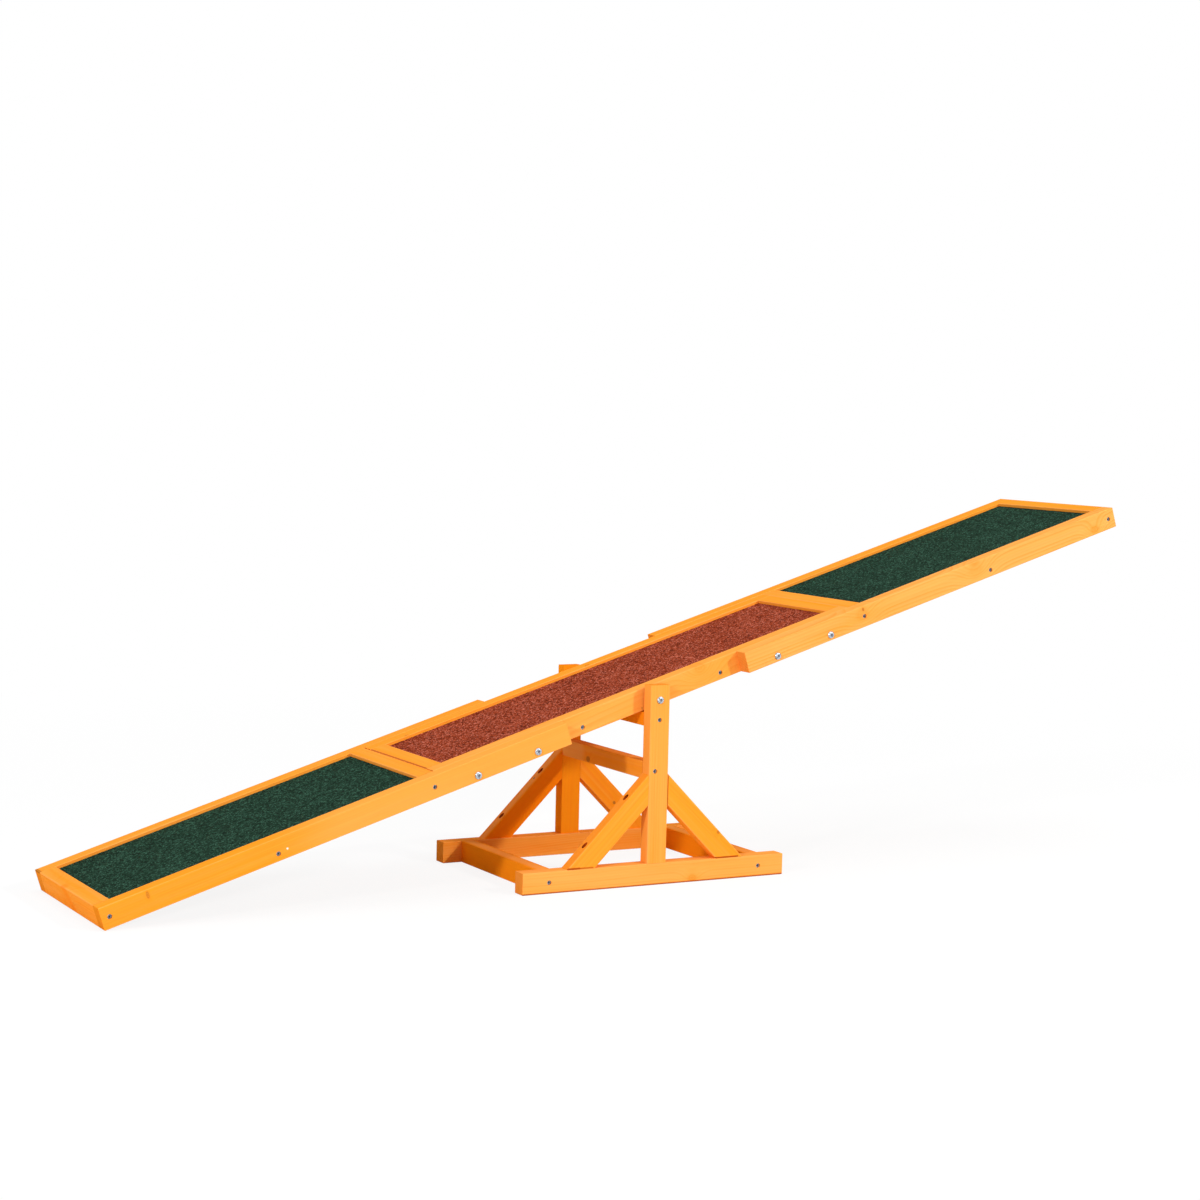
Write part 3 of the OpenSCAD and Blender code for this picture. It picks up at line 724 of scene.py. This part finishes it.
def socket_bolt(length):
    """A domed bolt with a hexagon socket, its head's outer face at the origin and its shank pointing down."""
    bolt = start_ring(6, SOCKET_ACROSS / math.sqrt(3))
    bpy.ops.mesh.subdivide(number_cuts=3)
    rim = {tuple(round(c, 7) for c in v.co) for v in bmesh.from_edit_mesh(bolt.data).verts}

    # The land round the socket, the dome, the seat, the plain shank, the ridges of the thread and the tip
    bpy.ops.mesh.extrude_edges_move()
    bpy.ops.transform.resize(value=(LAND, LAND, 1.0), center_override=(0, 0, 0))
    bpy.ops.transform.tosphere(value=1.0, center_override=(0, 0, 0))
    ridge = ((THREAD_ROOT, PITCH * 0.42), (THREAD_ROOT, PITCH * 0.08), (SHANK, PITCH * 0.42), (SHANK, PITCH * 0.08))
    thread = ridge * (round(THREADED / PITCH) - 1)
    for radius, drop in (*HEAD_RINGS, (SHANK, length - THREADED - HEAD_DROP), *thread, *TIP_RINGS):
        next_ring(radius, drop)
    bpy.ops.mesh.edge_face_add()

    # The socket goes down from its rim to a floor with a shallow drilled cone
    select_edges(bolt, lambda co: tuple(round(c, 7) for c in co) in rim)
    for radius, drop in SOCKET_RINGS:
        next_ring(radius, drop)
    bpy.ops.mesh.merge(type="CENTER")
    return leave_edit(bolt)


def nail():
    """A round nail, the middle of its low domed head at the origin and its shank pointing down."""
    made = start_ring(16, NAIL_TOP)
    for radius, drop in NAIL_RINGS:
        next_ring(radius, drop)
    bpy.ops.mesh.edge_face_add()
    select_edges(made, lambda co: co.z > -0.00001)
    bpy.ops.mesh.edge_face_add()
    return leave_edit(made)


def set_out(model, name, places, body, slot, *materials):
    """Copies a model to each place and way out, each turned its own way, as one piece that rides on a body."""
    pick = random.Random(name)
    copies = []
    for place, out in places:
        bpy.ops.object.select_all(action="DESELECT")
        model.select_set(True)
        bpy.context.view_layer.objects.active = model
        bpy.ops.object.duplicate(linked=False)
        copy = bpy.context.object
        turn = Vector(out).to_track_quat("Z", "Y").to_matrix() @ Matrix.Rotation(pick.uniform(0, math.pi), 3, "Z")
        copy.matrix_world = Matrix.Translation(place) @ turn.to_4x4()
        copies.append(copy)
    bpy.data.objects.remove(model)
    bpy.ops.object.select_all(action="DESELECT")
    for copy in copies:
        copy.select_set(True)
    bpy.context.view_layer.objects.active = copies[0]
    if len(copies) > 1:
        bpy.ops.object.join()
    bpy.ops.object.transform_apply(location=True, rotation=True, scale=True)
    piece = bpy.context.object
    piece.name = name
    for material in materials:
        piece.data.materials.append(material)
    bpy.ops.object.shade_smooth_by_angle(angle=SHARP_FROM)
    if len(piece.data.polygons) < FEWEST_FACES:
        raise RuntimeError(name + " was not made")
    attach(piece, body)
    return piece


def tint(name, description, *colour):
    """A colour that a user would change."""
    return FloatVectorProperty(name=name, description=description, subtype="COLOR", default=colour)


def power(name, description, watts):
    """A lamp's power, which a user would change."""
    return FloatProperty(name=name, description=description, unit="POWER", default=watts, min=0.0)


def roughness(description, share):
    """A roughness that a user would change."""
    return FloatProperty(name="Roughness", description=description, subtype="FACTOR", default=share, min=0.2, max=0.9)


class SeesawTimberSettings(bpy.types.PropertyGroup):
    """The stained boards"""

    stain: tint("Stain", "Golden stain on soft early wood", 0.975, 0.310, 0.009)
    # The pale and deep colours also serve as painted light and shade: boards in strong light lean to pale, boards in
    # shade to deep, and lit stretches are painted pale
    pale: tint("Pale wood", "Where the stain is thin", 0.985, 0.420, 0.110)
    deep: tint("Deep wood", "Boards that took more stain", 0.965, 0.182, 0.001)
    late: tint("Late wood", "Dark band of every growth ring", 0.930, 0.230, 0.012)
    patch: tint("Patches", "Where the stain took more", 0.950, 0.275, 0.006)
    end: tint("End grain", "Sawn ends", 0.700, 0.190, 0.008)
    knot: tint("Knots", "Heart of a knot", 0.300, 0.110, 0.020)
    # The seam colour also paints shade: along the near base rail's bottom edge, in the braces' gaps, and inside their
    # pockets
    seam: tint("Seams", "Dark line between boards", 0.360, 0.050, 0.004)
    gloss: roughness("Roughness of the satin stain", 0.42)


class SeesawHiddenWoodSettings(bpy.types.PropertyGroup):
    """The battens and ledgers under the decks"""

    stain: tint("Stain", "Thin stain on the battens", 0.80, 0.290, 0.035)
    pale: tint("Pale wood", "Bare streaks", 0.88, 0.430, 0.120)
    deep: tint("Deep wood", "Boards that took more stain", 0.70, 0.210, 0.020)
    late: tint("Late wood", "Dark band of every growth ring", 0.62, 0.190, 0.030)
    patch: tint("Patches", "Where the stain took more", 0.66, 0.200, 0.025)
    end: tint("End grain", "Sawn ends", 0.50, 0.150, 0.020)
    knot: tint("Knots", "Heart of a knot", 0.25, 0.100, 0.020)
    seam: tint("Seams", "Dark line between boards", 0.20, 0.050, 0.010)
    gloss: roughness("Roughness of the thin stain", 0.60)


class SeesawGritSettings(bpy.types.PropertyGroup):
    """The grit sheets"""

    green: tint("Green grit", "Main colour of the outer sheets", 0.0105, 0.034, 0.019)
    red: tint("Red grit", "Main colour of the middle sheet", 0.335, 0.044, 0.010)
    grain: FloatProperty(
        name="Grain", description="Size of a granule", subtype="DISTANCE", unit="LENGTH", default=0.0024,
        min=0.0005, max=0.005,
    )


class SeesawFixingSettings(bpy.types.PropertyGroup):
    """Bolts, screws, the nail and the spacers"""

    zinc: tint("Zinc", "Zinc plate on bolts and screws", 0.56, 0.63, 0.71)
    nail: tint("Nail", "Dull steel of the nail", 0.20, 0.16, 0.13)
    nylon: tint("Nylon", "Spacers at the pivot", 0.84, 0.84, 0.80)


class SeesawStageSettings(bpy.types.PropertyGroup):
    """Floor, lamps and surround"""

    floor: tint("Floor", "Plain pale floor", 0.77, 0.77, 0.77)
    key: power("Key lamp", "Power of the lamp at the front right", 240.0)
    fill: power("Fill lamp", "Power of the lamp at the front left", 180.0)
    top: power("Top lamp", "Power of the wide lamp overhead", 170.0)
    sky: FloatProperty(
        name="Surround", description="Strength of the surround on the object", default=0.50, min=0.0, max=1.0,
    )


class SEESAW_OT_timber(bpy.types.Operator):
    """Stain the boards of the plank and the base"""

    bl_idname = "seesaw.timber"
    bl_label = "Stained boards"

    def execute(self, context):
        look = context.scene.seesaw_timber
        inside = drilled_wood(look)
        screws = fixings_of("brace_screws")
        for node, board in BOARDS.items():
            wood = stained_timber(node, *board, look)
            if "brace" not in node:
                dress(node, wood)
                continue
            dress(node, wood, inside)
            for face in frame["nodes"][node].data.polygons:
                if any(in_hole(face, place, out, POCKET) for place, out, _, _ in screws):
                    face.material_index = 1
        return {"FINISHED"}


class SEESAW_OT_hidden_timber(bpy.types.Operator):
    """Finish the battens and ledgers under the decks"""

    bl_idname = "seesaw.hidden_timber"
    bl_label = "Battens and ledgers"

    def execute(self, context):
        for node, board in HIDDEN_BOARDS.items():
            dress(node, stained_timber(node, *board, context.scene.seesaw_hidden_wood))
        return {"FINISHED"}


class SEESAW_OT_decks(bpy.types.Operator):
    """Give the plywood decks their rotary-cut faces and layered edges"""

    bl_idname = "seesaw.decks"
    bl_label = "Plywood decks"

    def execute(self, context):
        for node, seed in DECKS.items():
            dress(node, plywood(node, seed))
        return {"FINISHED"}


class SEESAW_OT_grit(bpy.types.Operator):
    """Cover the three deck sheets with green and red granules"""

    bl_idname = "seesaw.grit"
    bl_label = "Grit sheets"

    def execute(self, context):
        look = context.scene.seesaw_grit
        for node, (colour, darkest, lightest, seed) in GRITS.items():
            body = tuple(getattr(look, colour))
            dress(node, grit_sheet(colour + "_" + node, body, darkest, lightest, look.grain, seed))
        return {"FINISHED"}


class SEESAW_OT_fixings(bpy.types.Operator):
    """Zinc for the washers, nuts and screws, painted shade in the driver recesses, and nylon for the spacers"""

    bl_idname = "seesaw.fixings"
    bl_label = "Screws, nuts and spacers"

    def execute(self, context):
        look = context.scene.seesaw_fixings
        plate = metal("nut_plate", tuple(look.zinc), *BOLT_PLATE)
        screw = metal("screw_plate", scaled(look.zinc, SCREW_DIM), *SCREW_PLATE)
        recess = recess_shadow("cross_recess", CROSS_LIGHT)
        for node in frame["nodes"]:
            if any(word in node for word in ("bolts", "washers", "nuts")):
                dress(node, plate)
            elif "screws" in node:
                dress(node, screw, recess)
                for place, out, _, faces in fixings_of(node):
                    for face in faces:
                        face.material_index = int(in_hole(face, place, out, CROSS_RECESS))
        dress("pivot_spacers", moulded_nylon(tuple(look.nylon)))
        return {"FINISHED"}


class SEESAW_OT_bolts(bpy.types.Operator):
    """Model the domed bolts with their sockets and threads, at the places of the plain ones"""

    bl_idname = "seesaw.bolts"
    bl_label = "Socket bolts"

    def execute(self, context):
        plate = metal("bolt_plate", tuple(context.scene.seesaw_fixings.zinc), *BOLT_PLATE)
        recess = recess_shadow("socket_recess", SOCKET_LIGHT)
        for node, body in (("joint_bolts", "plank"), ("pivot_bolts", "base")):
            fixings = fixings_of(node)
            name = node.replace("bolts", "socket_bolts")
            places = [(place - out * SUNK, out) for place, out, _, _ in fixings]
            piece = set_out(socket_bolt(fixings[0][2]), name, places, body, "bolt_zinc", plate, recess)
            for face in piece.data.polygons:
                face.material_index = int(any(in_hole(face, place, out, SOCKET) for place, out, _, _ in fixings))
            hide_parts(node)
        return {"FINISHED"}


class SEESAW_OT_nail(bpy.types.Operator):
    """Put the nail into the slanted edge of the far brace on the low side"""

    bl_idname = "seesaw.nail"
    bl_label = "Nail"

    def execute(self, context):
        out = Vector((-1, 0, 1)).normalized()
        dull = metal("nail_steel", tuple(context.scene.seesaw_fixings.nail), *NAIL_STEEL)
        set_out(nail(), "brace_nail", [(NAIL_PLACE + out * NAIL_PROUD, out)], "base", "screw_zinc", dull)
        return {"FINISHED"}


class SEESAW_OT_stage(bpy.types.Operator):
    """Set the camera, the pale floor, the lamps and the white surround"""

    bl_idname = "seesaw.stage"
    bl_label = "Stage"

    def execute(self, context):
        look = context.scene.seesaw_stage
        bpy.ops.object.select_all(action="DESELECT")
        self.camera(context)
        self.floor(look)
        self.surround(context, look)
        self.lamps(look)
        context.scene.view_settings.view_transform = "Standard"
        return {"FINISHED"}

    def camera(self, context):
        """The camera at the photograph's viewpoint."""
        sin, cos = math.sin, math.cos
        ahead = Vector((sin(CAMERA_YAW) * cos(CAMERA_PITCH), cos(CAMERA_YAW) * cos(CAMERA_PITCH), -sin(CAMERA_PITCH)))
        level = Vector((cos(CAMERA_YAW), -sin(CAMERA_YAW), 0.0))
        upward = level.cross(ahead)
        right = cos(CAMERA_ROLL) * level + sin(CAMERA_ROLL) * upward
        above = -sin(CAMERA_ROLL) * level + cos(CAMERA_ROLL) * upward
        bpy.ops.object.camera_add(location=CAMERA_PLACE)
        camera = bpy.context.object
        camera.name = "photo_camera"
        turned = Matrix((right, above, -ahead)).transposed()
        camera.matrix_world = Matrix.Translation(CAMERA_PLACE) @ turned.to_4x4()
        camera.data.sensor_width = CAMERA_SENSOR
        camera.data.lens = CAMERA_LENS
        camera.data.clip_start = 0.05
        camera.data.clip_end = 60.0
        context.scene.camera = camera

    def floor(self, look):
        """A floor that lights the object as a pale one, and fades to white in the picture."""
        bpy.ops.mesh.primitive_plane_add(size=FLOOR_WIDTH, location=(0, 0, 0))
        floor = bpy.context.object
        floor.name = "studio_floor"
        s = Shade("studio_floor")
        lit = s.add("ShaderNodeBsdfDiffuse", {"Color": rgba(look.floor)}).outputs[0]
        white = s.add("ShaderNodeEmission", {"Color": (1, 1, 1, 1), "Strength": 1.0}).outputs[0]
        near = s.add("ShaderNodeBsdfDiffuse", {"Color": rgba(FLOOR_SEEN)}).outputs[0]
        veil = s.step(s.vector("LENGTH", s.place()), *FLOOR_FADE)
        veiled = s.add("ShaderNodeMixShader", {0: veil, 1: near, 2: white}).outputs[0]
        both = s.add("ShaderNodeMixShader", {0: s.seen(), 1: lit, 2: veiled})
        s.add("ShaderNodeOutputMaterial", {"Surface": both.outputs[0]})
        floor.data.materials.append(s.owner)

    def surround(self, context, look):
        """White all round in the picture, and dimmer on the object."""
        s = Shade("studio_surround", "worlds")
        strength = s.add("ShaderNodeMapRange", {"Value": s.seen(), "To Min": look.sky, "To Max": 1.0}).outputs[0]
        white = s.add("ShaderNodeBackground", {"Color": (1, 1, 1, 1), "Strength": strength})
        s.add("ShaderNodeOutputWorld", {"Surface": white.outputs[0]})
        context.scene.world = s.owner

    def lamps(self, look):
        """Square lamps that all look at the same spot."""
        for name, width, heading, height in LAMPS:
            a, b = math.radians(heading), math.radians(height)
            towards = Vector((math.sin(a) * math.cos(b), -math.cos(a) * math.cos(b), math.sin(b)))
            bpy.ops.object.light_add(type="AREA", location=towards * LAMP_AWAY + LAMP_AIM)
            lamp = bpy.context.object
            lamp.name = name + "_lamp"
            lamp.data.energy = getattr(look, name)
            lamp.data.shape = "SQUARE"
            lamp.data.size = width
            lamp.rotation_euler = towards.to_track_quat("Z", "Y").to_euler()


class SEESAW_PT_looks(bpy.types.Panel):
    """Lists the steps and the sizes and colours behind them"""

    bl_idname = "SEESAW_PT_looks"
    bl_label = "Agility seesaw"
    bl_space_type = "VIEW_3D"
    bl_region_type = "UI"
    bl_category = "Seesaw"

    def draw(self, context):
        for operator in OPERATORS:
            self.layout.operator(operator.bl_idname)
        for attribute, group in SETTINGS.items():
            box = self.layout.box()
            for name in group.__annotations__:
                box.prop(getattr(context.scene, attribute), name)


SETTINGS = {
    "seesaw_timber": SeesawTimberSettings,
    "seesaw_hidden_wood": SeesawHiddenWoodSettings,
    "seesaw_grit": SeesawGritSettings,
    "seesaw_fixings": SeesawFixingSettings,
    "seesaw_stage": SeesawStageSettings,
}
OPERATORS = (
    SEESAW_OT_timber,
    SEESAW_OT_hidden_timber,
    SEESAW_OT_decks,
    SEESAW_OT_grit,
    SEESAW_OT_fixings,
    SEESAW_OT_bolts,
    SEESAW_OT_nail,
    SEESAW_OT_stage,
)


def register():
    for group in SETTINGS.values():
        bpy.utils.register_class(group)
    for attribute, group in SETTINGS.items():
        setattr(bpy.types.Scene, attribute, PointerProperty(type=group))
    for operator in OPERATORS:
        bpy.utils.register_class(operator)
    bpy.utils.register_class(SEESAW_PT_looks)


def unregister():
    bpy.utils.unregister_class(SEESAW_PT_looks)
    for operator in reversed(OPERATORS):
        bpy.utils.unregister_class(operator)
    for attribute, group in SETTINGS.items():
        delattr(bpy.types.Scene, attribute)
        bpy.utils.unregister_class(group)


def main():
    register()
    bpy.ops.object.select_all(action="DESELECT")
    bpy.ops.seesaw.timber()
    bpy.ops.seesaw.hidden_timber()
    bpy.ops.seesaw.decks()
    bpy.ops.seesaw.grit()
    bpy.ops.seesaw.fixings()
    bpy.ops.seesaw.bolts()
    bpy.ops.seesaw.nail()
    bpy.ops.seesaw.stage()


if __name__ == "__main__":
    main()
